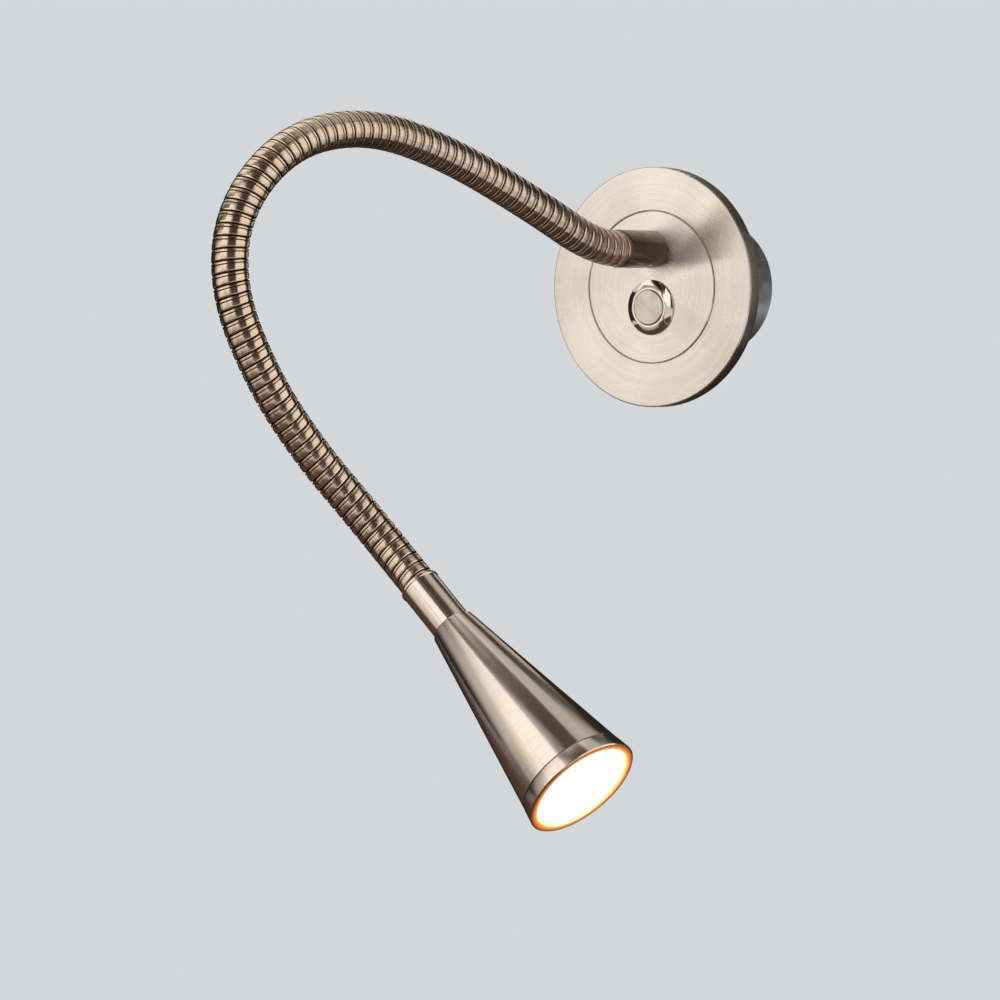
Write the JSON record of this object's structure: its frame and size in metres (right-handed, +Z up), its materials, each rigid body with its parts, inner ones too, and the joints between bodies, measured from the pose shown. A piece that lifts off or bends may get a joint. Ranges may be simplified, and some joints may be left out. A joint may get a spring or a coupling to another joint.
{
  "type": "bedside wall reading lamp",
  "caption": "Wall-mounted reading spot: round base with push switch, bendable ribbed neck and a conical head with a round front lens.",
  "frame": {"origin": "centre of the round base on the wall plane", "axes": "+Z up, -Y out of the wall into the room, +X to the right seen from the room"},
  "size_m": [0.1353, 0.2258, 0.2275],
  "materials": {
    "satin_nickel": "satin brushed nickel, warm",
    "neck_metal": "warm nickel, semi-bright, darker in the grooves",
    "polished_nickel": "polished",
    "zinc_steel": "zinc plated",
    "yellow_zinc": "passivated",
    "dark_steel": "black oxide",
    "magnet_nickel": "nickel plated",
    "aluminium": "machined",
    "black_rubber": "matt",
    "white_plastic": "moulded",
    "bright_reflector": "bright",
    "led_glow": "warm white light source",
    "lit_lens": "clear, lit warm white"
  },
  "bodies": {
    "wall_base": {"mounting_plate": "zinc_steel", "recess_can": "zinc_steel", "cable_grommet": "black_rubber", "front_disc": "satin_nickel", "earth_screw": "yellow_zinc", "neck_stud": "zinc_steel", "neck_washer": "zinc_steel", "neck_nut": "zinc_steel", "neck_collar": "satin_nickel", "collar_set_screw": "dark_steel", "switch_body": "polished_nickel", "switch_seal": "black_rubber", "switch_nut": "zinc_steel", "switch_spring": "dark_steel", "led_driver": "white_plastic", "terminal_block": "white_plastic", "neck_lead": "black_rubber", "disc_screw_1": "zinc_steel", "terminal_screw_1": "yellow_zinc", "disc_screw_2": "zinc_steel", "terminal_screw_2": "yellow_zinc", "disc_screw_3": "zinc_steel", "terminal_screw_3": "yellow_zinc", "magnet_1": "magnet_nickel", "magnet_2": "magnet_nickel", "magnet_3": "magnet_nickel", "magnet_4": "magnet_nickel", "switch_terminal_1": "yellow_zinc", "switch_terminal_2": "yellow_zinc", "neck_link_00": "neck_metal"},
    "push_button": {"switch_cap": "satin_nickel"},
    "trim_ring": {"trim_ring": "satin_nickel"},
    "neck_01": {"neck_link_01": "neck_metal"},
    "neck_02": {"neck_link_02": "neck_metal"},
    "neck_03": {"neck_link_03": "neck_metal"},
    "neck_04": {"neck_link_04": "neck_metal"},
    "neck_05": {"neck_link_05": "neck_metal"},
    "neck_06": {"neck_link_06": "neck_metal"},
    "neck_07": {"neck_link_07": "neck_metal"},
    "neck_08": {"neck_link_08": "neck_metal"},
    "neck_09": {"neck_link_09": "neck_metal"},
    "neck_10": {"neck_link_10": "neck_metal"},
    "neck_11": {"neck_link_11": "neck_metal"},
    "neck_12": {"neck_link_12": "neck_metal"},
    "neck_13": {"neck_link_13": "neck_metal"},
    "head": {"neck_link_14": "neck_metal", "head_ferrule": "satin_nickel", "ferrule_set_screw": "dark_steel", "ferrule_nut": "zinc_steel", "cone_shell": "satin_nickel", "heat_sink": "aluminium", "led_board": "white_plastic", "led_chip": "led_glow", "board_screw_1": "zinc_steel", "board_screw_2": "zinc_steel", "reflector": "bright_reflector", "lens": "lit_lens", "lens_seal": "black_rubber", "front_bezel": "satin_nickel"}
  },
  "joints": [
    {"name": "button_press", "type": "slide", "parent": "wall_base", "child": "push_button", "axis": [0, 1, 0], "range_m": [0, 0.0012], "stiffness_N_per_m": 1500, "springref_m": -0.001, "deforming": ["switch_spring"]},
    {"name": "ring_pull", "type": "slide", "parent": "wall_base", "child": "trim_ring", "axis": [0, -1, 0], "range_m": [0, 0.015]},
    {"name": "neck_bend_01", "type": "hinge", "parent": "wall_base", "child": "neck_01", "pos_m": [-0.00059, -0.03934, 0.01397], "axis": [0.8968, 0.0174, 0.442], "range_deg": [-30, 30], "deforming": ["neck_lead"]},
    {"name": "neck_bend_02", "type": "hinge", "parent": "neck_01", "child": "neck_02", "pos_m": [-0.00479, -0.05893, 0.02361], "axis": [-0.3886, 0.495, 0.7771], "range_deg": [-30, 30]},
    {"name": "neck_bend_03", "type": "hinge", "parent": "neck_02", "child": "neck_03", "pos_m": [-0.01003, -0.07832, 0.03322], "axis": [-0.8849, 0.0353, -0.4645], "range_deg": [-30, 30]},
    {"name": "neck_bend_04", "type": "hinge", "parent": "neck_03", "child": "neck_04", "pos_m": [-0.01549, -0.09803, 0.04199], "axis": [0.4092, -0.4037, -0.8183], "range_deg": [-30, 30]},
    {"name": "neck_bend_05", "type": "hinge", "parent": "neck_04", "child": "neck_05", "pos_m": [-0.01993, -0.11897, 0.04804], "axis": [0.885, -0.0595, 0.4618], "range_deg": [-30, 30]},
    {"name": "neck_bend_06", "type": "hinge", "parent": "neck_05", "child": "neck_06", "pos_m": [-0.02453, -0.14056, 0.05001], "axis": [-0.4469, 0.0386, 0.8938], "range_deg": [-30, 30]},
    {"name": "neck_bend_07", "type": "hinge", "parent": "neck_06", "child": "neck_07", "pos_m": [-0.03024, -0.16134, 0.0449], "axis": [-0.8597, 0.4281, -0.2787], "range_deg": [-30, 30]},
    {"name": "neck_bend_08", "type": "hinge", "parent": "neck_07", "child": "neck_08", "pos_m": [-0.0366, -0.17656, 0.03028], "axis": [0.297, 0.7476, -0.5941], "range_deg": [-30, 30]},
    {"name": "neck_bend_09", "type": "hinge", "parent": "neck_08", "child": "neck_09", "pos_m": [-0.0392, -0.1834, 0.00959], "axis": [0.9986, -0.053, 0.0057], "range_deg": [-30, 30]},
    {"name": "neck_bend_10", "type": "hinge", "parent": "neck_09", "child": "neck_10", "pos_m": [-0.03638, -0.18188, -0.01226], "axis": [0.1125, -0.9679, -0.225], "range_deg": [-30, 30]},
    {"name": "neck_bend_11", "type": "hinge", "parent": "neck_10", "child": "neck_11", "pos_m": [-0.03011, -0.1752, -0.03253], "axis": [-0.9344, -0.0408, -0.3539], "range_deg": [-30, 30]},
    {"name": "neck_bend_12", "type": "hinge", "parent": "neck_11", "child": "neck_12", "pos_m": [-0.02234, -0.16575, -0.05111], "axis": [-0.1952, 0.8998, 0.3903], "range_deg": [-30, 30]},
    {"name": "neck_bend_13", "type": "hinge", "parent": "neck_12", "child": "neck_13", "pos_m": [-0.0121, -0.15624, -0.06843], "axis": [0.8466, -0.0423, 0.5306], "range_deg": [-30, 30]},
    {"name": "neck_bend_14", "type": "hinge", "parent": "neck_13", "child": "head", "pos_m": [0.00031, -0.14942, -0.08555], "axis": [0.0666, -0.9888, -0.1333], "range_deg": [-30, 30]}
  ]
}
